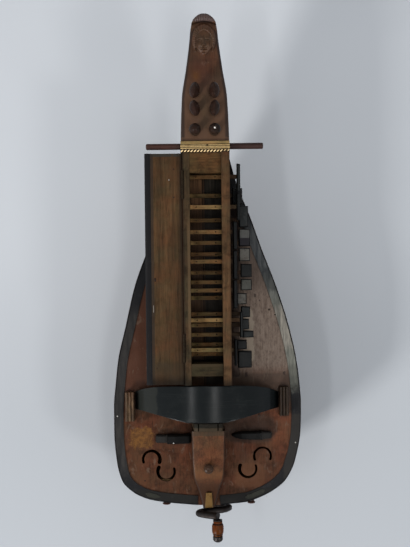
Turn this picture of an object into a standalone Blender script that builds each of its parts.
"""Lute backed hurdy gurdy, lying on the flat middle stave of its bowl.

+Y runs from the tail with its crank to the head, +X to the side of the keys,
and +Z up out of the soundboard. The origin is on the floor under the wheel's
centre. The lid is open flat on the left, and the instrument has no strings.
"""

import math

import bmesh
import bpy
from mathutils import Matrix, Vector

# Fits
GAP = 0.0003                 # between pieces that are glued or touch
OVERRUN = 0.004              # how far a cut runs past what it cuts

# Bowl and soundboard
BODY_TAIL_Y = -0.1400
BODY_NECK_Y = 0.3216
BODY_HALF_WIDTH = 0.1250
STAVE_COUNT = 9
STAVE_FULLNESS_SHARE = 0.8
STAVE_THICKNESS = 0.0026
BOARD_THICKNESS = 0.0030
BODY_STATIONS = 30

# Half widths of the outline, as (share of the length from the tail, share of the half width)
LEFT_SIDE_SHARES = [
    (0.0, 0.12), (0.0078, 0.424), (0.0183, 0.642), (0.0386, 0.802), (0.0715, 0.920),
    (0.126, 0.974), (0.215, 1.0), (0.289, 1.0), (0.344, 0.981), (0.418, 0.951),
    (0.517, 0.866), (0.63, 0.767), (0.729, 0.634), (0.828, 0.484), (0.93, 0.325), (1.0, 0.256),
]
RIGHT_SIDE_SHARES = [
    (0.0, 0.12), (0.0078, 0.404), (0.0183, 0.522), (0.0386, 0.676), (0.0715, 0.822),
    (0.126, 0.920), (0.215, 0.982), (0.289, 0.990), (0.344, 0.978), (0.418, 0.946),
    (0.517, 0.866), (0.63, 0.738), (0.729, 0.600), (0.828, 0.473), (0.93, 0.325), (1.0, 0.256),
]
# Depths of the bowl, as (share of the length from the tail, share of the full depth)
DEPTH_SHARES = [
    (0.0, 0.42), (0.0078, 0.57), (0.0183, 0.68), (0.0386, 0.80), (0.0715, 0.90),
    (0.126, 0.97), (0.19, 1.0), (0.60, 1.0), (0.73, 0.93), (0.83, 0.74), (0.93, 0.45), (1.0, 0.27),
]
# Where the outline turns quickly, near the tail, it has these stations of its own
TAIL_STATION_SHARES = [0.0, 0.003, 0.0078, 0.0125, 0.0183, 0.027, 0.0386, 0.053, 0.0715, 0.097]

# Blocks and brace inside the bowl
TAIL_BLOCK_LENGTH = 0.034
TAIL_BLOCK_HALF_WIDTH = 0.066
NECK_BLOCK_LENGTH = 0.050
BRACE_THICKNESS = 0.012
BRACE_HEIGHT = 0.034
BRACE_TO_HUB = 0.0145

# Black border on the soundboard
BORDER_WIDTH = 0.0125
BORDER_THICKNESS = 0.0008
BORDER_EDGE = 0.0004
BORDER_START_SHARE = 0.965

# Sound holes, two arcs on each side
HOLE_RADIUS = 0.0112
HOLE_OPENING_DEG = 67
HOLE_STEPS = 18
# Each arc: name, side, place across and along the body, and its stroke at the first and at the
# last end as shares of its radius
HOLE_SHARES = [
    ("outer", -1, 0.606, 0.1332, 0.45, 0.29),
    ("inner", -1, 0.451, 0.0974, 0.43, 0.28),
    ("outer", 1, 0.574, 0.1395, 0.27, 0.27),
    ("inner", 1, 0.418, 0.1034, 0.42, 0.25),
]

# Wheel, axle and crank
WHEEL_RADIUS = 0.080
WHEEL_THICKNESS = 0.009
WHEEL_WEB = 0.0065
WHEEL_RIM = 0.010
WHEEL_HUB_RADIUS = 0.017
WHEEL_HUB_LENGTH = 0.015
WHEEL_SEGMENTS = 48
WHEEL_FLOOR_CLEARANCE = 0.0084
SLOT_CLEARANCE = 0.0025
AXLE_DROP = 0.034            # axle below the top of the soundboard
AXLE_RADIUS = 0.0045
AXLE_SEGMENTS = 20
BUSH_RADIUS = 0.0070
BUSH_FLANGE_RADIUS = 0.0092
BUSH_FLANGE = 0.0026
BUSH_LENGTH = 0.020
CRANK_THROW_Z = 0.060
CRANK_THROW_X = 0.0110
CRANK_HUB_RADIUS = 0.0078
CRANK_HUB_LENGTH = 0.0110
CRANK_HUB_EDGE = 0.0010
CRANK_BAR_WIDTH = 0.0120
CRANK_BAR_THICKNESS = 0.0088
CRANK_STEPS = 22
CRANK_BULGE = 0.0245
CRANK_PIN_RADIUS = 0.0031
CRANK_COLLAR = 0.0012
# Centre line of the S, as (share of the bulge, share of the throw)
CRANK_LINE_SHARES = [(0.0, 0.0), (0.60, 0.02), (0.94, 0.20), (0.52, 0.41), (-0.36, 0.53), (-0.80, 0.74)]
GRIP_LENGTH = 0.0195
GRIP_RADIUS = 0.0077
GRIP_SEGMENTS = 20
KNOB_RADIUS = 0.0064
KNOB_LENGTH = 0.0080
# Grip as (share of the length, share of its widest radius), and the knob after its root likewise
GRIP_SHARES = [(0.0, 0.78), (0.12, 0.78), (0.18, 0.95), (0.45, 1.0), (0.78, 0.98), (0.93, 0.82), (1.0, 0.78)]
KNOB_SHARES = [(0.0, 1.0), (0.5, 1.0), (0.82, 0.75), (1.0, 0.3)]

# Key box
KEYBOX_TAIL_Y = 0.0258
KEYBOX_HEIGHT = 0.0580
KEYBOX_INNER_HALF = 0.0204
LEFT_WALL = 0.0088
RIGHT_WALL = 0.0104
HEAD_BLOCK_LENGTH = 0.0256
TAIL_PANEL_THICKNESS = 0.0155
TAIL_PANEL_SETBACK = 0.0115
STRING_SPREAD = 0.0125       # a melody string beside the middle line
STRING_ROOM = 0.0025         # beside a string where it passes through wood
STRING_CHANNEL_HEIGHT = 0.0100

# Lid and hinges
LID_THICKNESS = 0.0050
LID_END_GAP = 0.0008
LID_SIDE_GAP = 0.0018
LID_TO_WALL = 0.0006         # between the open lid and the left wall
LID_EDGE_BEVEL = 0.0005
HINGE_LENGTH = 0.036
HINGE_LEAF = 0.0008
HINGE_LEAF_HEIGHT = 0.0085
HINGE_KNUCKLE_RADIUS = 0.0017
HINGE_PIN_RADIUS = 0.0008
HINGE_BORE_RADIUS = 0.00115
HINGE_SEGMENTS = 12
HINGE_PLACE_SHARES = [("head", 0.137), ("tail", 0.84)]

# Keys. Each row of the table is: name, row, place of the shaft, start and end of the head,
# distance of the head from the wall and depth of the head, all in shares
KEY_WIDTH = 0.0050
KEY_HEIGHT = 0.0070
KEY_END_INSET = 0.0026
KEY_CHAMFER = 0.0008
KEY_REACH = 0.0160
TANGENT_HOLE_RADIUS = 0.0009
TANGENT_SEGMENTS = 6
UPPER_KEY_Z = 0.0385         # middle of the shaft above the soundboard
LOWER_KEY_Z = 0.0225
KEY_HEAD_HEIGHT = 0.0120
UPPER_HEAD_DEPTH = 0.0048
LOWER_HEAD_DEPTH = 0.0145
KEY_SHARES = [
    ("key_upper_1", "upper", 0.1000, 0.0429, 0.1672, 0.59, 0.94),
    ("key_lower_1", "lower", 0.1777, 0.1432, 0.2182, 0.24, 0.90),
    ("key_upper_2", "upper", 0.2311, 0.1703, 0.2912, 0.56, 0.88),
    ("key_lower_2", "lower", 0.2861, 0.2226, 0.3196, 0.76, 0.84),
    ("key_upper_3", "upper", 0.3395, 0.2936, 0.4176, 0.23, 1.10),
    ("key_lower_3", "lower", 0.3851, 0.3240, 0.4034, 0.74, 1.01),
    ("key_lower_4", "lower", 0.4355, 0.4078, 0.4693, 0.73, 1.01),
    ("key_upper_4", "upper", 0.4682, 0.4199, 0.5463, 0.22, 1.10),
    ("key_lower_5", "lower", 0.5166, 0.4784, 0.5399, 0.86, 1.00),
    ("key_lower_6", "lower", 0.5588, 0.5443, 0.5973, 0.85, 1.00),
    ("key_upper_5", "upper", 0.5939, 0.5483, 0.6747, 0.21, 1.10),
    ("key_lower_7", "lower", 0.6277, 0.6061, 0.6591, 0.54, 0.86),
    ("key_lower_8", "lower", 0.6990, 0.6655, 0.7162, 0.86, 0.81),
    ("key_upper_6", "upper", 0.7233, 0.6878, 0.8010, 0.73, 0.82),
    ("key_lower_9", "lower", 0.7480, 0.7199, 0.7699, 0.93, 0.63),
    ("key_lower_10", "lower", 0.7895, 0.7726, 0.8057, 1.00, 0.94),
    ("key_lower_11", "lower", 0.8331, 0.8132, 0.8574, 0.51, 0.86),
    ("key_upper_7", "upper", 0.8530, 0.8054, 0.9233, 0.26, 0.72),
    ("key_lower_12", "lower", 0.8753, 0.8618, 0.9385, 0.57, 1.23),
]
BONE_KEYS = ("key_lower_3", "key_lower_4", "key_lower_6", "key_lower_7")

# Pegbox with its head
PEGBOX_LENGTH = 0.1765
PEGBOX_HALF_WIDTH = 0.0312
PEGBOX_EDGE = 0.0020
PEGBOX_BACK_EDGE = 0.0080
PEGBOX_WIDTH_SHARES = [
    (0.0, 1.0), (0.13, 0.985), (0.39, 0.925), (0.60, 0.745), (0.785, 0.603), (0.90, 0.532),
    (0.95, 0.45), (0.985, 0.27), (1.0, 0.12),
]
PEGBOX_BACK_SHARES = [
    (0.0, 1.0), (0.13, 0.885), (0.39, 0.66), (0.60, 0.53), (0.785, 0.45), (0.90, 0.40),
    (0.95, 0.37), (0.985, 0.32), (1.0, 0.26),
]
PEGBOX_FRONT_SHARES = [(0.0, 0.0), (0.86, 0.0), (0.92, 0.02), (0.965, 0.06), (1.0, 0.16)]
PEGBOX_STATION_SHARES = [0.0, 0.13, 0.26, 0.39, 0.495, 0.60, 0.69, 0.785, 0.86, 0.92, 0.955, 0.985, 1.0]
PEGBOX_ROOT = 0.0165         # solid wood between the nut and the trough
TROUGH_LENGTH = 0.0740
TROUGH_SIDE = 0.0070
TROUGH_FRONT = 0.0090
NUT_LENGTH = 0.0140
NUT_THICKNESS = 0.0029
NUT_EDGE = 0.0006
ROD_RADIUS = 0.0040
ROD_LEFT = 0.0755
ROD_RIGHT = 0.0740
ROD_DROP = 0.0084            # rod's axis below the pegbox front
ROD_SEGMENTS = 16
FACE_PLACE_SHARE = 0.80
FACE_HALF_WIDTH = 0.0128
FACE_HALF_LENGTH = 0.0195
FACE_HEIGHT = 0.0062
CAP_ROLL_RADIUS = 0.0036
CAP_PLACE_SHARE = 0.905
CAP_STEPS = 12

# Tuning pegs
PEG_SPREAD_SHARE = 0.397
PEG_PLACE_SHARES = [("low", 0.135), ("middle", 0.490), ("high", 0.793)]
PEG_REACH = 0.0280           # height of a peg above the pegbox front
PEG_LENGTH = 0.0700
PEG_SHAFT_RADIUS = 0.0036
PEG_TIP_RADIUS = 0.0028
PEG_COLLAR_RADIUS = 0.0058
OVAL_PEG_HALF_LENGTH = 0.0100
OVAL_PEG_HALF_WIDTH = 0.0064
ROUND_PEG_RADIUS = 0.0074
PEG_SEGMENTS = 12
# Peg above the front, as (share of its height, width share) of the collar and then of the head
PEG_NECK_SHARES = [(0.10, 1.0), (0.17, 0.66), (0.28, 0.62)]
PEG_HEAD_SHARES = [(0.42, 0.80), (0.62, 1.0), (0.80, 0.92), (0.93, 0.62), (1.0, 0.22)]

# Wheel cover and its side blocks
COVER_FOOT_SHARE = 0.558     # of the board between the wheel slot and the border
COVER_HEADROOM = 0.0066      # over the wheel
COVER_THICKNESS = 0.0026
COVER_CENTRE_X = -0.0013
COVER_TO_KEYBOX = 0.0014
COVER_TAIL_HALF = 0.0229
COVER_HEAD_TAPER_LEFT = 0.0123
COVER_HEAD_TAPER_RIGHT = 0.0148
COVER_TAIL_TAPER = 0.0118
COVER_TAIL_FLAT_SHARE = 0.22 # of the half span, before the tail edge draws in
COVER_STEPS = 36
BLOCK_WIDTH_SHARE = 0.336    # of the same stretch of board
BLOCK_HEIGHT = 0.0125
BLOCK_LENGTH = 0.0381
BLOCK_PLACE_LEFT_Y = -0.0069
BLOCK_PLACE_RIGHT_Y = -0.0017
BLOCK_REEDS = 3
REED_DEPTH = 0.0016
REED_STEPS = 5

# Bridges and tailpiece
BRIDGE_HALF_WIDTH = 0.0214
BRIDGE_THICKNESS = 0.0094
BRIDGE_HEIGHT = 0.0480
BRIDGE_CLEARANCE = 0.0022    # to the wheel cover
NOTCH_HALF = 0.0009
# Right side of the bridge up to its notch, and the arch between the feet, in shares of its half
# width and height
BRIDGE_SIDE_SHARES = [(0.42, 0.0), (1.0, 0.0), (1.0, 0.12), (0.90, 0.28), (0.86, 0.62), (0.92, 0.74), (0.84, 0.93)]
BRIDGE_TOP_SHARES = (0.97, 0.925)
BRIDGE_ARCH_SHARES = [(-0.42, 0.0), (-0.38, 0.14), (-0.22, 0.24), (0.0, 0.28), (0.22, 0.24), (0.38, 0.14)]
TAILPIECE_FRONT_HEIGHT = 0.0440
TAILPIECE_EDGE = 0.0030
TAILPIECE_HALF_WIDTH = 0.0216
TAILPIECE_WIDTH_SHARES = [(0.0, 1.0), (0.35, 0.97), (0.58, 0.90), (0.78, 0.62), (1.0, 0.36)]
TAILPIECE_HEIGHT_SHARES = [(0.0, 1.0), (0.30, 0.86), (0.58, 0.68), (0.80, 0.43), (1.0, 0.27)]
TAILPIECE_STATIONS = 13
WEDGE_LENGTH = 0.0210
WEDGE_HALF_WIDTH = 0.0040
WEDGE_END_HALF_WIDTH = 0.0054
WEDGE_THICKNESS = 0.0020
WEDGE_TOP_SHARE = 0.8
TIRANT_PLACE_SHARE = 0.465
TIRANT_RADIUS = 0.0062
TIRANT_SHAFT_RADIUS = 0.0028
TIRANT_DEPTH = 0.0150
TIRANT_RISE = 0.0120
# Knob of the tirant as (share of its height, share of its radius)
TIRANT_SHARES = [(0.0, 0.55), (0.25, 0.55), (0.40, 0.92), (0.62, 1.0), (0.85, 0.80), (1.0, 0.35)]
SMALL_BRIDGE_HEIGHT = 0.0140
TROMPETTE_TO_TAILPIECE = 0.0010
TROMPETTE_LENGTH = 0.0470
TROMPETTE_WIDTH = 0.0118
TROMPETTE_BACK = 0.0156      # its middle behind the front of the tailpiece
DRONE_TO_TAILPIECE = 0.0096
DRONE_LENGTH = 0.0526
DRONE_WIDTH = 0.0098
DRONE_BACK = 0.0121
# Small bridges along their length, as (place, share of the width, share of the height)
TROMPETTE_SHARES = [
    (0.0, 0.82, 0.70), (0.06, 1.0, 0.80), (0.45, 1.0, 1.0), (0.66, 1.0, 1.0), (0.70, 0.86, 0.62),
    (0.97, 0.86, 0.55), (1.0, 0.70, 0.45),
]
DRONE_SHARES = [
    (0.0, 0.12, 0.40), (0.10, 0.60, 0.62), (0.24, 0.92, 0.85), (0.60, 1.0, 1.0), (0.70, 1.0, 0.94),
    (0.72, 1.12, 0.96), (0.76, 1.12, 0.94), (0.78, 0.95, 0.86), (0.97, 0.86, 0.62), (1.0, 0.70, 0.52),
]

# Strap buttons
BUTTON_X = 0.0570
BUTTON_DROP = 0.0165
BUTTON_RADIUS = 0.0054
BUTTON_SHANK_RADIUS = 0.0024
BUTTON_LENGTH = 0.0058
BUTTON_SHANK_LENGTH = 0.0140
# Head of a button as (share of its length, share of its radius)
BUTTON_SHARES = [(0.0, 0.8), (0.3, 0.63), (0.55, 1.0), (0.85, 0.9), (1.0, 0.5)]

# Places worked out from the sizes above
BODY_LENGTH = BODY_NECK_Y - BODY_TAIL_Y
BOARD_TOP = AXLE_DROP + WHEEL_RADIUS + WHEEL_FLOOR_CLEARANCE + STAVE_THICKNESS
RIM_Z = BOARD_TOP - BOARD_THICKNESS - GAP
SEAT_Z = BOARD_TOP + GAP
AXLE_Z = BOARD_TOP - AXLE_DROP
KEYBOX_TOP = BOARD_TOP + KEYBOX_HEIGHT
KEYBOX_LENGTH = BODY_NECK_Y - KEYBOX_TAIL_Y
LEFT_WALL_X = -KEYBOX_INNER_HALF - LEFT_WALL
RIGHT_WALL_X = KEYBOX_INNER_HALF + RIGHT_WALL
PEGBOX_ROOT_Y = BODY_NECK_Y + GAP
PEGBOX_DEPTH = KEYBOX_TOP - RIM_Z * (1 - DEPTH_SHARES[-1][1])
PEG_X = PEG_SPREAD_SHARE * PEGBOX_HALF_WIDTH
HINGE_X = LEFT_WALL_X - LID_TO_WALL / 2
HINGE_Z = KEYBOX_TOP + GAP / 2
LID_WIDTH = LEFT_WALL + 2 * KEYBOX_INNER_HALF - LID_SIDE_GAP
CRANK_Y = BODY_TAIL_Y - GAP - BUSH_FLANGE - GAP - CRANK_HUB_LENGTH / 2
GRIP_START_Y = CRANK_Y - CRANK_BAR_THICKNESS / 2 - CRANK_COLLAR - GAP
PIN_X = CRANK_THROW_X
PIN_Z = AXLE_Z + CRANK_THROW_Z
SLOT_HALF_CHORD = math.sqrt(WHEEL_RADIUS ** 2 - AXLE_DROP ** 2) + SLOT_CLEARANCE
SIDE_ROOM = BODY_HALF_WIDTH * RIGHT_SIDE_SHARES[7][1] - BORDER_WIDTH - SLOT_HALF_CHORD
COVER_HALF_SPAN = SLOT_HALF_CHORD + COVER_FOOT_SHARE * SIDE_ROOM
COVER_RISE = WHEEL_RADIUS - AXLE_DROP + COVER_HEADROOM + COVER_THICKNESS
COVER_HEAD_HALF = KEYBOX_TAIL_Y - COVER_TO_KEYBOX
BLOCK_WIDTH = BLOCK_WIDTH_SHARE * SIDE_ROOM
BRIDGE_FRONT_Y = -COVER_TAIL_HALF - BRIDGE_CLEARANCE
TAILPIECE_FRONT_Y = BRIDGE_FRONT_Y - BRIDGE_THICKNESS - GAP
TAILPIECE_LENGTH = TAILPIECE_FRONT_Y - BODY_TAIL_Y


# Curves

def curve(shares, place):
    """Smooth value at a place, through (place, value) pairs, that never overshoots them."""
    xs = [pair[0] for pair in shares]
    ys = [pair[1] for pair in shares]
    slopes = [(ys[i + 1] - ys[i]) / (xs[i + 1] - xs[i]) for i in range(len(xs) - 1)]
    tangents = [slopes[0]]
    for before, after in zip(slopes, slopes[1:]):
        level = before * after <= 0
        tangents.append(0.0 if level else 2 * before * after / (before + after))
    tangents.append(slopes[-1])
    place = min(max(place, xs[0]), xs[-1])
    index = max(i for i in range(len(xs) - 1) if xs[i] <= place)
    width = xs[index + 1] - xs[index]
    t = (place - xs[index]) / width
    return ((1 + 2 * t) * (1 - t) ** 2 * ys[index]
            + t * (1 - t) ** 2 * width * tangents[index]
            + t * t * (3 - 2 * t) * ys[index + 1]
            + t * t * (t - 1) * width * tangents[index + 1])


def spline_points(points, steps):
    """Points along a smooth line that passes through all the given plane points."""
    padded = [points[0], *points, points[-1]]
    line = []
    for i in range(len(points) - 1):
        a, b, c, d = (Vector(p) for p in padded[i:i + 4])
        for k in range(steps):
            t = k / steps
            line.append(0.5 * (2 * b + (c - a) * t + (2 * a - 5 * b + 4 * c - d) * t ** 2
                               + (3 * b - a - 3 * c + d) * t ** 3))
    line.append(Vector(points[-1]))
    return line


# Materials

MATERIALS = {}


def material(name, color, roughness, metallic=0.0):
    """A plain Principled material, made once for each name."""
    if name not in MATERIALS:
        made = bpy.data.materials.new(name)
        made.use_nodes = True
        shader = made.node_tree.nodes["Principled BSDF"]
        shader.inputs["Base Color"].default_value = (*color, 1.0)
        shader.inputs["Roughness"].default_value = roughness
        shader.inputs["Metallic"].default_value = metallic
        MATERIALS[name] = made
    return MATERIALS[name]


def stave_wood():
    return material("stave_wood", (0.20, 0.10, 0.045), 0.45)


def board_wood():
    return material("board_wood", (0.25, 0.11, 0.055), 0.42)


def inner_wood():
    return material("inner_wood", (0.48, 0.34, 0.20), 0.65)


def box_wood():
    return material("box_wood", (0.36, 0.22, 0.11), 0.50)


def head_wood():
    return material("head_wood", (0.17, 0.065, 0.03), 0.38)


def rod_wood():
    return material("rod_wood", (0.20, 0.055, 0.035), 0.40)


def block_wood():
    return material("block_wood", (0.40, 0.23, 0.11), 0.50)


def black_paint():
    return material("black_paint", (0.018, 0.018, 0.020), 0.32)


def bone():
    return material("bone", (0.78, 0.68, 0.46), 0.38)


def peg_wood():
    return material("peg_wood", (0.045, 0.022, 0.016), 0.35)


def iron():
    return material("iron", (0.09, 0.08, 0.075), 0.48, 0.8)


def brass():
    return material("brass", (0.30, 0.23, 0.12), 0.45, 0.9)


def grip_wood():
    return material("grip_wood", (0.38, 0.14, 0.05), 0.35)


def wheel_wood():
    return material("wheel_wood", (0.42, 0.27, 0.14), 0.40)


# Building blocks

def finish(name, shape, look, smooth_deg=None):
    """Turn a bmesh into a named object with its normals out."""
    bmesh.ops.recalc_face_normals(shape, faces=shape.faces)
    mesh = bpy.data.meshes.new(name)
    shape.to_mesh(mesh)
    shape.free()
    if smooth_deg:
        mesh.shade_smooth()
        mesh.set_sharp_from_angle(angle=math.radians(smooth_deg))
    made = bpy.data.objects.new(name, mesh)
    made.data.materials.append(look)
    bpy.context.scene.collection.objects.link(made)
    return made


def loft(name, sections, look, smooth_deg=None):
    """A closed solid through a row of closed sections with the same number of points."""
    shape = bmesh.new()
    rings = [[shape.verts.new(point) for point in section] for section in sections]
    count = len(rings[0])
    for ring, following in zip(rings, rings[1:]):
        for k in range(count):
            n = (k + 1) % count
            shape.faces.new((ring[k], ring[n], following[n], following[k]))
    shape.faces.new(rings[0])
    shape.faces.new(rings[-1])
    return finish(name, shape, look, smooth_deg)


def turned(name, profile, start, axis, look, segments, bored=False):
    """A round solid from (along, radius) pairs; a bored one has a closed profile."""
    along = Vector(axis).normalized()
    side = along.orthogonal().normalized()
    up = along.cross(side)
    shape = bmesh.new()
    rings = []
    for height, radius in profile:
        ring = []
        for k in range(segments):
            angle = 2 * math.pi * k / segments
            arm = side * math.cos(angle) + up * math.sin(angle)
            ring.append(shape.verts.new(Vector(start) + along * height + arm * radius))
        rings.append(ring)
    pairs = list(zip(rings, rings[1:]))
    if bored:
        pairs.append((rings[-1], rings[0]))
    for ring, following in pairs:
        for k in range(segments):
            n = (k + 1) % segments
            shape.faces.new((ring[k], ring[n], following[n], following[k]))
    if not bored:
        shape.faces.new(rings[0])
        shape.faces.new(rings[-1])
    return finish(name, shape, look, 40)


def box(name, low, high, look, bevel=0.0):
    """A block between two corners, with an optional small bevel."""
    corners = [(0, 0), (1, 0), (1, 1), (0, 1)]
    ends = (low, high)
    sections = [[(ends[i][0], ends[j][1], z) for i, j in corners] for z in (low[2], high[2])]
    made = loft(name, sections, look)
    if bevel:
        add_bevel(made, bevel)
    return made


def prism(name, outline, low, high, axis, look):
    """A flat outline pushed from low to high along the x, y or z axis."""
    def point(pair, value):
        a, b = pair
        return {"x": (value, a, b), "y": (a, value, b), "z": (a, b, value)}[axis]
    sections = [[point(pair, value) for pair in outline] for value in (low, high)]
    return loft(name, sections, look)


def add_bevel(piece, width):
    bevel = piece.modifiers.new("edge", "BEVEL")
    bevel.width = width
    bevel.segments = 1
    bevel.limit_method = "ANGLE"
    bevel.harden_normals = False


def guide(piece):
    """Mark a helper that shapes another piece and isn't one itself."""
    piece.hide_render = True
    piece.display_type = "WIRE"
    return piece


def combine(piece, other, operation):
    step = piece.modifiers.new(other.name, "BOOLEAN")
    step.operation = operation
    step.solver = "EXACT"
    step.object = guide(other)


def cut(piece, *cutters):
    for cutter in cutters:
        combine(piece, cutter, "DIFFERENCE")


def add(piece, *others):
    for other in others:
        combine(piece, other, "UNION")


def set_origin(piece, point):
    """Move the object's origin to a point without moving its shape."""
    piece.data.transform(Matrix.Translation(-Vector(point)))
    piece.location = point


def round_cutter(name, start, end, radius, segments):
    run = Vector(end) - Vector(start)
    return turned(name, [(0, radius), (run.length, radius)], start, run, inner_wood(), segments)


# Bowl

def body_shares():
    """Stations along the body, close together where the tail turns."""
    last = TAIL_STATION_SHARES[-1]
    count = BODY_STATIONS - len(TAIL_STATION_SHARES)
    return TAIL_STATION_SHARES + [last + (1 - last) * k / count for k in range(1, count + 1)]


def bowl_section(share, inset):
    """Points of one cross section, left rim to right rim, drawn in by an inset."""
    y = BODY_TAIL_Y + inset + share * (BODY_LENGTH - inset)
    left = BODY_HALF_WIDTH * curve(LEFT_SIDE_SHARES, share) - inset
    right = BODY_HALF_WIDTH * curve(RIGHT_SIDE_SHARES, share) - inset
    depth = RIM_Z * curve(DEPTH_SHARES, share) - inset
    deepest = max(math.sin(math.pi * k / STAVE_COUNT) for k in range(STAVE_COUNT + 1))
    points = []
    for k in range(STAVE_COUNT + 1):
        angle = math.pi * k / STAVE_COUNT
        reach = left if math.cos(angle) > 0 else right
        drop = max(math.sin(angle), 0.0) / deepest
        if k in (0, STAVE_COUNT):
            drop = 0.0
        points.append(Vector((-reach * math.cos(angle), y, RIM_Z - depth * drop ** STAVE_FULLNESS_SHARE)))
    return points


def back_shell():
    """Bowl of flat staves, open on top and at the neck."""
    shares = body_shares()
    shape = bmesh.new()
    outer = [[shape.verts.new(p) for p in bowl_section(s, 0)] for s in shares]
    inner = [[shape.verts.new(p) for p in bowl_section(s, STAVE_THICKNESS)] for s in shares]
    for skin in (outer, inner):
        for ring, following in zip(skin, skin[1:]):
            for k in range(STAVE_COUNT):
                shape.faces.new((ring[k], ring[k + 1], following[k + 1], following[k]))
        shape.faces.new(skin[0])
    for rim in (0, STAVE_COUNT):
        for i in range(len(shares) - 1):
            shape.faces.new((outer[i][rim], outer[i + 1][rim], inner[i + 1][rim], inner[i][rim]))
    for k in range(STAVE_COUNT):
        shape.faces.new((outer[-1][k], outer[-1][k + 1], inner[-1][k + 1], inner[-1][k]))
    shape.faces.new((outer[0][0], outer[0][-1], inner[0][-1], inner[0][0]))
    shell = finish("back_shell", shape, stave_wood())
    cut(shell, bush_hole_cutter("shell_bush_hole"))
    for side in (-1, 1):
        cut(shell, button_hole_cutter(f"shell_button_hole_{side}", side))
    return shell


def inner_fill(name, low_y, high_y, half_width=None, low_z=None, high_z=None):
    """A piece that fills the inside of the bowl within the given limits."""
    sections = [bowl_section(share, STAVE_THICKNESS + GAP) for share in body_shares()]
    piece = loft(name, sections, inner_wood())
    reach = BODY_HALF_WIDTH + OVERRUN if half_width is None else half_width
    bottom = -OVERRUN if low_z is None else low_z
    top = RIM_Z + OVERRUN if high_z is None else high_z
    limits = box(name + "_limits", (-reach, low_y, bottom), (reach, high_y, top), inner_wood())
    combine(piece, limits, "INTERSECT")
    return piece


def bush_hole_cutter(name):
    start = (0, BODY_TAIL_Y - OVERRUN, AXLE_Z)
    end = (0, BODY_TAIL_Y + TAIL_BLOCK_LENGTH + STAVE_THICKNESS + OVERRUN, AXLE_Z)
    return round_cutter(name, start, end, BUSH_RADIUS + GAP, AXLE_SEGMENTS)


def tail_block():
    low = BODY_TAIL_Y
    block = inner_fill("tail_block", low, low + TAIL_BLOCK_LENGTH, half_width=TAIL_BLOCK_HALF_WIDTH)
    cut(block, bush_hole_cutter("block_bush_hole"))
    for side in (-1, 1):
        cut(block, button_hole_cutter(f"block_button_hole_{side}", side))
    return block


def neck_block():
    high = BODY_NECK_Y + OVERRUN
    return inner_fill("neck_block", BODY_NECK_Y - NECK_BLOCK_LENGTH, high)


def axle_brace():
    """Bar across the bowl with the axle's inner bearing."""
    low = WHEEL_HUB_LENGTH / 2 + BRACE_TO_HUB
    high = low + BRACE_THICKNESS
    half = BRACE_HEIGHT / 2
    brace = inner_fill("axle_brace", low, high, low_z=AXLE_Z - half, high_z=AXLE_Z + half)
    start = (0, low - OVERRUN, AXLE_Z)
    end = (0, high + OVERRUN, AXLE_Z)
    cut(brace, round_cutter("brace_bearing", start, end, AXLE_RADIUS + GAP, AXLE_SEGMENTS))
    return brace


# Soundboard

def body_outline():
    """Edge of the soundboard in plan, from the neck down the right side and up the left."""
    shares = body_shares()
    right = [Vector((bowl_section(s, 0)[-1].x, bowl_section(s, 0)[-1].y)) for s in reversed(shares)]
    left = [Vector((bowl_section(s, 0)[0].x, bowl_section(s, 0)[0].y)) for s in shares]
    return right + left


def arc_cutter(name, centre, start_deg, end_deg, first_share, last_share):
    """A cutter for one C shaped sound hole, with a stroke that changes along the arc."""
    outer, inner = [], []
    for k in range(HOLE_STEPS + 1):
        way = k / HOLE_STEPS
        angle = math.radians(start_deg + (end_deg - start_deg) * way)
        stroke = HOLE_RADIUS * (first_share + (last_share - first_share) * way)
        ray = Vector((math.cos(angle), math.sin(angle)))
        outer.append(centre + ray * (HOLE_RADIUS + stroke / 2))
        inner.append(centre + ray * (HOLE_RADIUS - stroke / 2))
    outline = outer + inner[::-1]
    return prism(name, outline, RIM_Z - OVERRUN, BOARD_TOP + OVERRUN, "z", inner_wood())


def soundboard():
    board = prism("soundboard", body_outline(), BOARD_TOP - BOARD_THICKNESS, BOARD_TOP, "z", board_wood())
    half_slot = WHEEL_THICKNESS / 2 + SLOT_CLEARANCE
    low = (-SLOT_HALF_CHORD, -half_slot, RIM_Z - OVERRUN)
    high = (SLOT_HALF_CHORD, half_slot, BOARD_TOP + OVERRUN)
    cut(board, box("wheel_slot", low, high, inner_wood()))
    for place, side, across, along, *strokes in HOLE_SHARES:
        turn = 0 if place == "outer" else 180
        centre = Vector((side * across * BODY_HALF_WIDTH, BODY_TAIL_Y + along * BODY_LENGTH))
        start_deg, end_deg = turn + HOLE_OPENING_DEG - 90, turn + 270 - HOLE_OPENING_DEG
        cut(board, arc_cutter(f"{place}_hole_{side}", centre, start_deg, end_deg, *strokes))
    return board


def tailpiece_half_width(y):
    share = (TAILPIECE_FRONT_Y - y) / TAILPIECE_LENGTH
    return TAILPIECE_HALF_WIDTH * curve(TAILPIECE_WIDTH_SHARES, share)


def border(name, side):
    """Strip on the edge of the board, from beside the key box round to the tailpiece."""
    outline = body_outline()
    if side < 0:
        outline = outline[::-1]
    wall = RIGHT_WALL_X if side > 0 else -LEFT_WALL_X
    start_y = BODY_TAIL_Y + BORDER_START_SHARE * BODY_LENGTH
    outer, inner = [], []
    for i in range(1, len(outline) - 1):
        point = outline[i]
        if point.y > start_y or side * point.x < TAILPIECE_HALF_WIDTH / 2 + GAP:
            continue
        run = (outline[i + 1] - outline[i - 1]).normalized()
        inward = Vector((run.y, -run.x)) * side
        edge = point + inward * BORDER_EDGE
        far = point + inward * BORDER_WIDTH
        if abs(far.x) < wall + GAP and far.y > 0:
            far.x = side * (wall + GAP)
        outer.append(edge)
        inner.append(far)
    return prism(name, outer + inner[::-1], SEAT_Z, SEAT_Z + BORDER_THICKNESS, "z", black_paint())


# Wheel, axle, crank and grip

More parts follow.
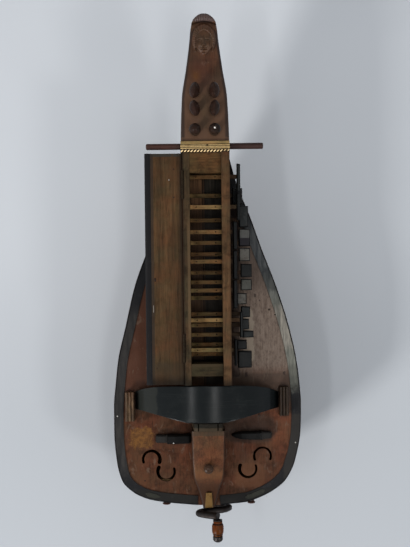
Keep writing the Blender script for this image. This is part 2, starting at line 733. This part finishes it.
def wheel():
    """Wooden wheel with a hub, a thinner web and a rim."""
    half = WHEEL_THICKNESS / 2
    hub = WHEEL_HUB_LENGTH / 2
    web = WHEEL_WEB / 2
    bore = AXLE_RADIUS + GAP
    inner_rim = WHEEL_RADIUS - WHEEL_RIM
    face = [(hub, bore), (hub, WHEEL_HUB_RADIUS), (web, WHEEL_HUB_RADIUS + hub - web),
            (web, inner_rim - half + web), (half, inner_rim), (half, WHEEL_RADIUS)]
    back = [(-along, radius) for along, radius in reversed(face)]
    made = turned("wheel", face + back, (0, 0, AXLE_Z), (0, 1, 0), wheel_wood(), WHEEL_SEGMENTS, bored=True)
    set_origin(made, (0, 0, AXLE_Z))
    return made


def axle():
    inner_end = WHEEL_HUB_LENGTH / 2 + BRACE_TO_HUB + BRACE_THICKNESS
    outer_end = CRANK_Y
    profile = [(0, AXLE_RADIUS), (inner_end - outer_end, AXLE_RADIUS)]
    made = turned("axle", profile, (0, outer_end, AXLE_Z), (0, 1, 0), iron(), AXLE_SEGMENTS)
    set_origin(made, (0, 0, AXLE_Z))
    return made


def shaft_bush():
    """Flanged bearing of the axle in the tail."""
    bore = AXLE_RADIUS + GAP
    flange_face = BUSH_LENGTH + BUSH_FLANGE
    profile = [(0, bore), (0, BUSH_RADIUS), (BUSH_LENGTH, BUSH_RADIUS), (BUSH_LENGTH, BUSH_FLANGE_RADIUS),
               (flange_face, BUSH_FLANGE_RADIUS), (flange_face, bore)]
    start = (0, BODY_TAIL_Y - GAP + BUSH_LENGTH, AXLE_Z)
    return turned("shaft_bush", profile, start, (0, -1, 0), bone(), AXLE_SEGMENTS, bored=True)


def crank_line():
    """Centre line of the S shaped bar, seen along the axle, from the axle to the pin."""
    points = []
    for bulge_share, throw_share in CRANK_LINE_SHARES:
        x = CRANK_THROW_X * throw_share + CRANK_BULGE * bulge_share
        points.append((x, AXLE_Z + CRANK_THROW_Z * throw_share))
    points.append((PIN_X, PIN_Z))
    return spline_points(points, max(CRANK_STEPS // len(points), 2))


def crank_arm():
    """Forged S bar with its hub, pin and riveted end knob."""
    line = crank_line()
    sections = []
    sides = 10
    for i, point in enumerate(line):
        run = (line[min(i + 1, len(line) - 1)] - line[max(i - 1, 0)]).normalized()
        across = Vector((-run.y, run.x))
        ring = []
        for k in range(sides):
            angle = 2 * math.pi * k / sides
            flat = point + across * (CRANK_BAR_WIDTH / 2 * math.cos(angle))
            ring.append((flat.x, CRANK_Y + CRANK_BAR_THICKNESS / 2 * math.sin(angle), flat.y))
        sections.append(ring)
    arm = loft("crank_arm", sections, iron(), 40)
    hub_start = (0, CRANK_Y + CRANK_HUB_LENGTH / 2, AXLE_Z)
    hub = [(0, CRANK_HUB_RADIUS), (CRANK_HUB_LENGTH - CRANK_HUB_EDGE, CRANK_HUB_RADIUS),
           (CRANK_HUB_LENGTH, CRANK_HUB_RADIUS - CRANK_HUB_EDGE)]
    pin_start = (PIN_X, CRANK_Y + CRANK_BAR_THICKNESS / 2, PIN_Z)
    seat = pin_start[1] - GRIP_START_Y - GAP
    neck = seat + GAP + GRIP_LENGTH + GAP
    boss = CRANK_BAR_WIDTH / 2
    pin = [(0, boss), (seat, boss), (seat, CRANK_PIN_RADIUS), (neck, CRANK_PIN_RADIUS)]
    pin += [(neck + along * KNOB_LENGTH, width * KNOB_RADIUS) for along, width in KNOB_SHARES]
    add(arm, turned("crank_hub", hub, hub_start, (0, -1, 0), iron(), AXLE_SEGMENTS))
    add(arm, turned("crank_pin", pin, pin_start, (0, -1, 0), iron(), GRIP_SEGMENTS))
    bore_start = (0, CRANK_Y + CRANK_HUB_LENGTH / 2 + OVERRUN, AXLE_Z)
    bore_end = (0, CRANK_Y - GAP, AXLE_Z)
    cut(arm, round_cutter("crank_bore", bore_start, bore_end, AXLE_RADIUS + GAP, AXLE_SEGMENTS))
    set_origin(arm, (0, 0, AXLE_Z))
    return arm


def grip():
    """Turned wooden barrel, bored for the crank pin."""
    bore = CRANK_PIN_RADIUS + GAP
    outside = [(along * GRIP_LENGTH, width * GRIP_RADIUS) for along, width in GRIP_SHARES]
    profile = [(0, bore)] + outside + [(GRIP_LENGTH, bore)]
    start = (PIN_X, GRIP_START_Y, PIN_Z)
    made = turned("grip", profile, start, (0, -1, 0), grip_wood(), GRIP_SEGMENTS, bored=True)
    set_origin(made, start)
    return made


# Key box

def key_place(share):
    """Y of a place along the key box, given as a share of its length from the nut."""
    return BODY_NECK_Y - share * KEYBOX_LENGTH


def key_middle_z(row):
    return BOARD_TOP + (UPPER_KEY_Z if row == "upper" else LOWER_KEY_Z)


def key_slots(wall_name, low_x, high_x):
    """Cutters for the shafts' guide slots in one wall."""
    for name, row, place, *rest in KEY_SHARES:
        y = key_place(place)
        z = key_middle_z(row)
        half_y = KEY_WIDTH / 2 + GAP
        half_z = KEY_HEIGHT / 2 + GAP
        low = (low_x - OVERRUN, y - half_y, z - half_z)
        high = (high_x + OVERRUN, y + half_y, z + half_z)
        yield box(f"{wall_name}_slot_{name}", low, high, inner_wood())


def keybox_left_wall():
    low = (LEFT_WALL_X, KEYBOX_TAIL_Y, SEAT_Z)
    high = (LEFT_WALL_X + LEFT_WALL, BODY_NECK_Y, KEYBOX_TOP)
    wall = box("keybox_left_wall", low, high, box_wood())
    cut(wall, *key_slots("left", low[0], high[0]))
    for end, share in HINGE_PLACE_SHARES:
        low_z = HINGE_Z - HINGE_LEAF_HEIGHT - GAP
        cut(wall, hinge_mortise(f"left_mortise_{end}", share, 1, low_z, KEYBOX_TOP))
    return wall


def keybox_right_wall():
    """The wall of the keys, as high as the closed lid."""
    low = (KEYBOX_INNER_HALF, KEYBOX_TAIL_Y, SEAT_Z)
    high = (RIGHT_WALL_X, BODY_NECK_Y, KEYBOX_TOP + LID_THICKNESS)
    wall = box("keybox_right_wall", low, high, box_wood())
    cut(wall, *key_slots("right", low[0], high[0]))
    return wall


def string_channel(name, low_y, high_y):
    middle_z = key_middle_z("upper")
    half = STRING_SPREAD + STRING_ROOM
    low = (-half, low_y - OVERRUN, middle_z - STRING_CHANNEL_HEIGHT / 2)
    high = (half, high_y + OVERRUN, middle_z + STRING_CHANNEL_HEIGHT / 2)
    return box(name, low, high, inner_wood())


def cross_block(name, low_y, high_y):
    """A block between the two walls, with a window for the strings."""
    half = KEYBOX_INNER_HALF - GAP
    block = box(name, (-half, low_y, SEAT_Z), (half, high_y, KEYBOX_TOP), box_wood())
    cut(block, string_channel(name + "_window", low_y, high_y))
    return block


def keybox_head_block():
    return cross_block("keybox_head_block", BODY_NECK_Y - HEAD_BLOCK_LENGTH, BODY_NECK_Y)


def keybox_tail_panel():
    low = KEYBOX_TAIL_Y + TAIL_PANEL_SETBACK
    return cross_block("keybox_tail_panel", low, low + TAIL_PANEL_THICKNESS)


def key(name, row, place, head_start, head_end, reach, depth, look):
    """A straight shaft with its head, lofted from end to end."""
    y = key_place(place)
    z = key_middle_z(row)
    full_depth = UPPER_HEAD_DEPTH if row == "upper" else LOWER_HEAD_DEPTH
    head_x = RIGHT_WALL_X + KEY_REACH * reach
    end_x = head_x + full_depth * depth
    tip_x = LEFT_WALL_X + KEY_END_INSET

    def section(x, low_y, high_y, half_z, draw=0.0):
        low_y, high_y, half_z = low_y + draw, high_y - draw, half_z - draw
        return [(x, low_y, z - half_z), (x, high_y, z - half_z), (x, high_y, z + half_z), (x, low_y, z + half_z)]

    shaft = (y - KEY_WIDTH / 2, y + KEY_WIDTH / 2, KEY_HEIGHT / 2)
    head = (key_place(head_end) + GAP, key_place(head_start) - GAP, KEY_HEAD_HEIGHT / 2)
    sections = [
        section(tip_x, *shaft, KEY_CHAMFER),
        section(tip_x + KEY_CHAMFER, *shaft),
        section(head_x, *shaft),
        section(head_x, *head, KEY_CHAMFER / 2),
        section(head_x + KEY_CHAMFER / 2, *head),
        section(end_x - KEY_CHAMFER, *head),
        section(end_x, *head, KEY_CHAMFER),
    ]
    made = loft(name, sections, look)
    for side in (-1, 1):
        x = side * STRING_SPREAD
        low, high = (x, y, z - KEY_HEIGHT / 2 - OVERRUN), (x, y, z + KEY_HEIGHT / 2 + OVERRUN)
        cut(made, round_cutter(f"{name}_tangent_{side}", low, high, TANGENT_HOLE_RADIUS, TANGENT_SEGMENTS))
    set_origin(made, (head_x, y, z))
    return made


def keys():
    for name, *values in KEY_SHARES:
        look = bone() if name in BONE_KEYS else black_paint()
        key(name, *values, look)


# Lid and hinges

def hinge_mortise(name, share, side, low_z, high_z):
    """Cutter for a hinge's seat in the wall, side 1, or in the lid, side -1."""
    reach = HINGE_KNUCKLE_RADIUS + GAP
    half = HINGE_LENGTH / 2 + GAP
    middle_y = key_place(share)
    ends = sorted((HINGE_X + side * reach, HINGE_X - side * OVERRUN))
    low = (ends[0], middle_y - half, low_z - (0 if side > 0 else OVERRUN))
    high = (ends[1], middle_y + half, high_z + OVERRUN)
    return box(name, low, high, inner_wood())


def lid():
    """The lid as it lies open, its inside up."""
    near_x = 2 * HINGE_X - LEFT_WALL_X
    top = 2 * HINGE_Z - KEYBOX_TOP - GAP
    low = (near_x - LID_WIDTH, KEYBOX_TAIL_Y + LID_END_GAP, top - LID_THICKNESS)
    high = (near_x, BODY_NECK_Y - LID_END_GAP, top)
    made = box("lid", low, high, box_wood(), LID_EDGE_BEVEL)
    for end, share in HINGE_PLACE_SHARES:
        cut(made, hinge_mortise(f"lid_mortise_{end}", share, -1, low[2], high[2]))
    set_origin(made, (HINGE_X, 0, HINGE_Z))
    return made


def hinge_barrel(name, middle_y, length, radius):
    start = (HINGE_X, middle_y - length / 2, HINGE_Z)
    return turned(name, [(0, radius), (length, radius)], start, (0, 1, 0), brass(), HINGE_SEGMENTS)


def fixed_leaf(name, middle_y):
    """Leaf on the wall, with the middle knuckle and the pin."""
    third = HINGE_LENGTH / 3
    shoulder = HINGE_Z - HINGE_KNUCKLE_RADIUS - GAP
    bottom = HINGE_Z - HINGE_LEAF_HEIGHT
    half = HINGE_LENGTH / 2
    tab = third / 2 - GAP
    outline = [(middle_y - half, bottom), (middle_y + half, bottom), (middle_y + half, shoulder),
               (middle_y + tab, shoulder), (middle_y + tab, HINGE_Z), (middle_y - tab, HINGE_Z),
               (middle_y - tab, shoulder), (middle_y - half, shoulder)]
    wall_side = HINGE_X + HINGE_KNUCKLE_RADIUS
    leaf = prism(name, outline, wall_side - HINGE_LEAF, wall_side, "x", brass())
    add(leaf, hinge_barrel(name + "_knuckle", middle_y, 2 * tab, HINGE_KNUCKLE_RADIUS))
    add(leaf, hinge_barrel(name + "_pin", middle_y, HINGE_LENGTH, HINGE_PIN_RADIUS))
    return leaf


def lid_leaf(name, middle_y):
    """Leaf on the lid's edge, with two knuckles bored for the pin."""
    third = HINGE_LENGTH / 3
    shoulder = HINGE_Z - HINGE_KNUCKLE_RADIUS - GAP
    bottom = HINGE_Z - LID_THICKNESS
    half = HINGE_LENGTH / 2
    tab = third / 2 + GAP
    outline = [(middle_y - half, bottom), (middle_y + half, bottom), (middle_y + half, HINGE_Z),
               (middle_y + tab, HINGE_Z), (middle_y + tab, shoulder), (middle_y - tab, shoulder),
               (middle_y - tab, HINGE_Z), (middle_y - half, HINGE_Z)]
    lid_side = HINGE_X - HINGE_KNUCKLE_RADIUS
    leaf = prism(name, outline, lid_side, lid_side + HINGE_LEAF, "x", brass())
    length = half - tab
    for side in (-1, 1):
        middle = middle_y + side * (tab + length / 2)
        add(leaf, hinge_barrel(f"{name}_knuckle_{side}", middle, length, HINGE_KNUCKLE_RADIUS))
    cut(leaf, hinge_barrel(name + "_bore", middle_y, HINGE_LENGTH + OVERRUN, HINGE_BORE_RADIUS))
    set_origin(leaf, (HINGE_X, middle_y, HINGE_Z))
    return leaf


def hinges():
    for end, share in HINGE_PLACE_SHARES:
        middle_y = key_place(share)
        fixed_leaf(f"hinge_leaf_{end}", middle_y)
        lid_leaf(f"lid_leaf_{end}", middle_y)


# Pegbox, nut and rod

def pegbox_half_width(share):
    return PEGBOX_HALF_WIDTH * curve(PEGBOX_WIDTH_SHARES, share)


def pegbox_section(share):
    """Eight sided section: small edges in front, larger ones at the back."""
    y = PEGBOX_ROOT_Y + share * PEGBOX_LENGTH
    half = pegbox_half_width(share)
    front = KEYBOX_TOP - PEGBOX_DEPTH * curve(PEGBOX_FRONT_SHARES, share)
    back = KEYBOX_TOP - PEGBOX_DEPTH * curve(PEGBOX_BACK_SHARES, share)
    small = min(PEGBOX_EDGE, half / 2)
    large = min(PEGBOX_BACK_EDGE, half / 2, (front - back) / 3)
    return [(-half, y, front - small), (-half + small, y, front), (half - small, y, front),
            (half, y, front - small), (half, y, back + large), (half - large, y, back),
            (-half + large, y, back), (-half, y, back + large)]


def trough_cutter():
    """Hollow for the pegs' ends, open at the back."""
    sections = []
    steps = 3
    for k in range(steps + 1):
        y = PEGBOX_ROOT_Y + PEGBOX_ROOT + TROUGH_LENGTH * k / steps
        half = pegbox_half_width((y - PEGBOX_ROOT_Y) / PEGBOX_LENGTH) - TROUGH_SIDE
        low = KEYBOX_TOP - PEGBOX_DEPTH - OVERRUN
        high = KEYBOX_TOP - TROUGH_FRONT
        sections.append([(-half, y, low), (half, y, low), (half, y, high), (-half, y, high)])
    return loft("pegbox_trough", sections, head_wood())


def face_boss():
    """Oval ground of the carved face on the head."""
    centre_y = PEGBOX_ROOT_Y + FACE_PLACE_SHARE * PEGBOX_LENGTH
    rings = 5
    sides = 16
    sections = []
    for i in range(rings):
        tilt = math.pi / 2 * i / rings
        ring = []
        for k in range(sides):
            angle = 2 * math.pi * k / sides
            x = FACE_HALF_WIDTH * math.cos(tilt) * math.cos(angle)
            y = centre_y + FACE_HALF_LENGTH * math.cos(tilt) * math.sin(angle)
            ring.append((x, y, KEYBOX_TOP + FACE_HEIGHT * math.sin(tilt)))
        sections.append(ring)
    root = [(x, y, z - FACE_HEIGHT) for x, y, z in sections[0]]
    return loft("face_boss", [root] + sections, head_wood(), 40)


def cap_roll():
    """Rolled band round the top of the head."""
    centre_y = PEGBOX_ROOT_Y + CAP_PLACE_SHARE * PEGBOX_LENGTH
    cap_radius = pegbox_half_width(CAP_PLACE_SHARE) - CAP_ROLL_RADIUS
    sides = 8
    sections = []
    for i in range(CAP_STEPS + 1):
        turn = math.pi * i / CAP_STEPS
        ray = Vector((math.cos(turn), math.sin(turn), 0))
        middle = Vector((0, centre_y, KEYBOX_TOP - CAP_ROLL_RADIUS / 2)) + ray * cap_radius
        ring = []
        for k in range(sides):
            angle = 2 * math.pi * k / sides
            lift = Vector((0, 0, math.sin(angle)))
            ring.append(middle + (ray * math.cos(angle) + lift) * CAP_ROLL_RADIUS)
        sections.append(ring)
    return loft("cap_roll", sections, head_wood(), 60)


def rod_place():
    return PEGBOX_ROOT_Y + PEGBOX_ROOT / 2, KEYBOX_TOP - ROD_DROP


def peg_places():
    for level, share in PEG_PLACE_SHARES:
        for side, x in (("left", -PEG_X), ("right", PEG_X)):
            y = PEGBOX_ROOT_Y + PEGBOX_ROOT + share * TROUGH_LENGTH
            yield f"peg_{level}_{side}", x, y, level


def pegbox():
    made = loft("pegbox", [pegbox_section(share) for share in PEGBOX_STATION_SHARES], head_wood(), 35)
    add(made, face_boss(), cap_roll())
    cut(made, trough_cutter())
    cut(made, string_channel("pegbox_string_channel", PEGBOX_ROOT_Y, PEGBOX_ROOT_Y + PEGBOX_ROOT))
    y, z = rod_place()
    reach = PEGBOX_HALF_WIDTH + OVERRUN
    cut(made, round_cutter("rod_hole", (-reach, y, z), (reach, y, z), ROD_RADIUS + GAP, ROD_SEGMENTS))
    for name, x, y, level in peg_places():
        low = (x, y, KEYBOX_TOP - TROUGH_FRONT - OVERRUN)
        high = (x, y, KEYBOX_TOP + OVERRUN)
        cut(made, round_cutter(name + "_hole", low, high, PEG_SHAFT_RADIUS + GAP, PEG_SEGMENTS))
    return made


def nut_band():
    seat = KEYBOX_TOP + GAP
    low = (-PEGBOX_HALF_WIDTH, PEGBOX_ROOT_Y, seat)
    high = (PEGBOX_HALF_WIDTH, PEGBOX_ROOT_Y + NUT_LENGTH, seat + NUT_THICKNESS)
    return box("nut_band", low, high, bone(), NUT_EDGE)


def cross_rod():
    y, z = rod_place()
    edge = ROD_RADIUS / 4
    length = ROD_LEFT + ROD_RIGHT
    profile = [(0, ROD_RADIUS - edge), (edge, ROD_RADIUS), (length - edge, ROD_RADIUS), (length, ROD_RADIUS - edge)]
    return turned("cross_rod", profile, (-ROD_LEFT, y, z), (1, 0, 0), rod_wood(), ROD_SEGMENTS)


def oval_loft(name, x, y, levels, look):
    """An upright solid of oval sections, given as (height, half width, half length)."""
    sections = []
    for z, half_x, half_y in levels:
        ring = []
        for k in range(PEG_SEGMENTS):
            angle = 2 * math.pi * (k + 0.5) / PEG_SEGMENTS
            ring.append((x + half_x * math.cos(angle), y + half_y * math.sin(angle), z))
        sections.append(ring)
    return loft(name, sections, look, 50)


def peg(name, x, y, level):
    """Tapered shaft, collar and a flattened or round head."""
    foot = KEYBOX_TOP + GAP
    head_x = ROUND_PEG_RADIUS if level == "low" else OVAL_PEG_HALF_WIDTH
    head_y = ROUND_PEG_RADIUS if level == "low" else OVAL_PEG_HALF_LENGTH
    shaft, collar = PEG_SHAFT_RADIUS, PEG_COLLAR_RADIUS
    tip = KEYBOX_TOP + PEG_REACH - PEG_LENGTH
    levels = [(tip, PEG_TIP_RADIUS, PEG_TIP_RADIUS), (foot, shaft, shaft), (foot, collar, collar)]
    for shares, half_x, half_y in ((PEG_NECK_SHARES, collar, collar), (PEG_HEAD_SHARES, head_x, head_y)):
        for up, width in shares:
            levels.append((foot + up * (PEG_REACH - GAP), width * half_x, width * half_y))
    made = oval_loft(name, x, y, levels, peg_wood())
    set_origin(made, (x, y, KEYBOX_TOP))
    return made


# Wheel cover and side blocks

def wheel_cover():
    """Thin band bent over the wheel, narrower at its two ends."""
    radius = (COVER_HALF_SPAN ** 2 + COVER_RISE ** 2) / (2 * COVER_RISE)
    centre_z = SEAT_Z + COVER_RISE - radius
    inner_radius = radius - COVER_THICKNESS
    sections = []
    for k in range(COVER_STEPS + 1):
        swing = 2 * k / COVER_STEPS - 1
        taper = COVER_HEAD_TAPER_RIGHT if swing > 0 else COVER_HEAD_TAPER_LEFT
        drawn = max(abs(swing) - COVER_TAIL_FLAT_SHARE, 0) / (1 - COVER_TAIL_FLAT_SHARE)
        ring = []
        for r, low_first in ((radius, True), (inner_radius, False)):
            limit = math.acos((SEAT_Z - centre_z) / r)
            x = COVER_CENTRE_X + r * math.sin(limit * swing)
            z = centre_z + r * math.cos(limit * swing)
            head_y = COVER_HEAD_HALF - taper * abs(swing) ** 3
            tail_y = -COVER_TAIL_HALF + COVER_TAIL_TAPER * math.sin(math.pi / 2 * drawn)
            ends = (tail_y, head_y) if low_first else (head_y, tail_y)
            ring.extend((x, y, z) for y in ends)
        sections.append(ring)
    made = loft("wheel_cover", sections, black_paint(), 30)
    set_origin(made, (0, 0, SEAT_Z))
    return made


def cover_block(name, side):
    """Block with a reeded top that keeps the cover's end in place."""
    near = COVER_CENTRE_X + side * (COVER_HALF_SPAN + GAP * 2)
    top = SEAT_Z + BLOCK_HEIGHT
    outline = [(near, SEAT_Z)]
    reed = BLOCK_WIDTH / BLOCK_REEDS
    for i in range(BLOCK_REEDS):
        for k in range(REED_STEPS):
            turn = math.pi * k / REED_STEPS
            x = reed * (i + 0.5 - math.cos(turn) / 2)
            outline.append((near + side * x, top - REED_DEPTH + REED_DEPTH * math.sin(turn)))
    far = near + side * BLOCK_WIDTH
    outline += [(far, top - REED_DEPTH), (far, SEAT_Z)]
    low = (BLOCK_PLACE_RIGHT_Y if side > 0 else BLOCK_PLACE_LEFT_Y) - BLOCK_LENGTH / 2
    return prism(name, outline, low, low + BLOCK_LENGTH, "y", block_wood())


# Bridges, tailpiece and tail

def bridge():
    """Main bridge: two feet, an arch between them and two string notches on top."""
    half = BRIDGE_HALF_WIDTH
    top, floor = (SEAT_Z + share * BRIDGE_HEIGHT for share in BRIDGE_TOP_SHARES)
    right = [(x * half, SEAT_Z + z * BRIDGE_HEIGHT) for x, z in BRIDGE_SIDE_SHARES]
    right += [(STRING_SPREAD + NOTCH_HALF, top), (STRING_SPREAD, floor), (STRING_SPREAD - NOTCH_HALF, top)]
    arch = [(x * half, SEAT_Z + z * BRIDGE_HEIGHT) for x, z in BRIDGE_ARCH_SHARES]
    left = [(-x, z) for x, z in reversed(right)]
    outline = right + [(0, SEAT_Z + BRIDGE_HEIGHT)] + left[:-1] + arch
    back = BRIDGE_FRONT_Y - BRIDGE_THICKNESS
    return prism("bridge", outline, back, BRIDGE_FRONT_Y, "y", board_wood())


def tailpiece_top(y):
    share = (TAILPIECE_FRONT_Y - y) / TAILPIECE_LENGTH
    return SEAT_Z + TAILPIECE_FRONT_HEIGHT * curve(TAILPIECE_HEIGHT_SHARES, share)


def tailpiece():
    """Raised block, falling and narrowing from the bridge to the tail."""
    sections = []
    for k in range(TAILPIECE_STATIONS):
        y = TAILPIECE_FRONT_Y - TAILPIECE_LENGTH * k / (TAILPIECE_STATIONS - 1)
        half = tailpiece_half_width(y)
        top = tailpiece_top(y)
        edge = TAILPIECE_EDGE
        sections.append([(-half, y, SEAT_Z), (half, y, SEAT_Z), (half, y, top - edge),
                         (half - edge, y, top), (-half + edge, y, top), (-half, y, top - edge)])
    made = loft("tailpiece", sections, board_wood())
    y = tirant_y()
    low = (0, y, tailpiece_top(y) - TIRANT_DEPTH - GAP)
    high = (0, y, tailpiece_top(y) + OVERRUN)
    cut(made, round_cutter("tirant_hole", low, high, TIRANT_SHAFT_RADIUS + GAP, PEG_SEGMENTS))
    return made


def tirant_y():
    return TAILPIECE_FRONT_Y - TIRANT_PLACE_SHARE * TAILPIECE_LENGTH


def tirant_peg():
    """Small knob on the tailpiece that draws the trompette string."""
    y = tirant_y()
    slope_room = tailpiece_top(y + TIRANT_SHAFT_RADIUS) - tailpiece_top(y - TIRANT_SHAFT_RADIUS)
    foot = tailpiece_top(y) + slope_room + GAP
    shaft = TIRANT_SHAFT_RADIUS
    levels = [(tailpiece_top(y) - TIRANT_DEPTH, shaft, shaft), (foot, shaft, shaft)]
    for up, width in TIRANT_SHARES:
        levels.append((foot + up * TIRANT_RISE, width * TIRANT_RADIUS, width * TIRANT_RADIUS))
    made = oval_loft("tirant_peg", 0, y, levels, peg_wood())
    set_origin(made, (0, y, foot))
    return made


def tail_wedge():
    """Strip of bone let on to the tail end of the tailpiece."""
    sections = []
    steps = 4
    for k in range(steps + 1):
        share = k / steps
        y = BODY_TAIL_Y + WEDGE_LENGTH * (1 - share)
        half = WEDGE_HALF_WIDTH + (WEDGE_END_HALF_WIDTH - WEDGE_HALF_WIDTH) * share
        seat = tailpiece_top(y) + GAP * 2
        top = seat + WEDGE_THICKNESS
        sections.append([(-half, y, seat), (half, y, seat), (half * WEDGE_TOP_SHARE, y, top), (-half * WEDGE_TOP_SHARE, y, top)])
    return loft("tail_wedge", sections, bone())


def small_bridge(name, side, near, length, back, width, shares):
    """A low bridge beside the tailpiece whose width and height follow a row of shares."""
    middle_y = TAILPIECE_FRONT_Y - back
    sections = []
    for place, width_share, height_share in shares:
        x = side * (TAILPIECE_HALF_WIDTH + near + length * place)
        half = width / 2 * width_share
        top = SEAT_Z + SMALL_BRIDGE_HEIGHT * height_share
        edge = half / 3
        sections.append([(x, middle_y - half, SEAT_Z), (x, middle_y + half, SEAT_Z),
                         (x, middle_y + half, top - edge), (x, middle_y + half - edge, top),
                         (x, middle_y - half + edge, top), (x, middle_y - half, top - edge)])
    return loft(name, sections, black_paint())


def tail_edge_y(x):
    """Y of the body's tail edge in plan at a given x."""
    outline = body_outline()
    tail = [p for p in outline if p.y < BODY_TAIL_Y + TAIL_BLOCK_LENGTH]
    for a, b in zip(tail, tail[1:]):
        if min(a.x, b.x) <= x <= max(a.x, b.x) and a.x != b.x:
            return a.y + (b.y - a.y) * (x - a.x) / (b.x - a.x)
    return BODY_TAIL_Y


def button_seat_y(side):
    return tail_edge_y(side * (BUTTON_X - BUTTON_RADIUS)) - GAP


def button_hole_cutter(name, side):
    x, z = side * BUTTON_X, BOARD_TOP - BUTTON_DROP
    start = (x, button_seat_y(side) - OVERRUN, z)
    end = (x, button_seat_y(side) + BUTTON_SHANK_LENGTH + GAP, z)
    return round_cutter(name, start, end, BUTTON_SHANK_RADIUS + GAP, PEG_SEGMENTS)


def strap_button(name, side):
    """Turned button for the strap, with its shank in the tail block."""
    x, z = side * BUTTON_X, BOARD_TOP - BUTTON_DROP
    start = (x, button_seat_y(side) + BUTTON_SHANK_LENGTH, z)
    head = BUTTON_SHANK_LENGTH
    profile = [(0, BUTTON_SHANK_RADIUS), (head, BUTTON_SHANK_RADIUS)]
    profile += [(head + along * BUTTON_LENGTH, width * BUTTON_RADIUS) for along, width in BUTTON_SHARES]
    return turned(name, profile, start, (0, -1, 0), rod_wood(), PEG_SEGMENTS)


def clear_scene():
    for existing in list(bpy.data.objects):
        bpy.data.objects.remove(existing)


def build():
    clear_scene()
    back_shell()
    soundboard()
    border("border_left", -1)
    border("border_right", 1)
    tail_block()
    neck_block()
    axle_brace()
    shaft_bush()
    wheel()
    axle()
    crank_arm()
    grip()
    keybox_left_wall()
    keybox_right_wall()
    keybox_head_block()
    keybox_tail_panel()
    keys()
    lid()
    hinges()
    pegbox()
    nut_band()
    cross_rod()
    for place in peg_places():
        peg(*place)
    wheel_cover()
    cover_block("cover_block_left", -1)
    cover_block("cover_block_right", 1)
    bridge()
    tailpiece()
    tirant_peg()
    tail_wedge()
    small_bridge("trompette_bridge", -1, TROMPETTE_TO_TAILPIECE, TROMPETTE_LENGTH, TROMPETTE_BACK,
                 TROMPETTE_WIDTH, TROMPETTE_SHARES)
    small_bridge("drone_bridge", 1, DRONE_TO_TAILPIECE, DRONE_LENGTH, DRONE_BACK, DRONE_WIDTH, DRONE_SHARES)
    strap_button("strap_button_left", -1)
    strap_button("strap_button_right", 1)


build()
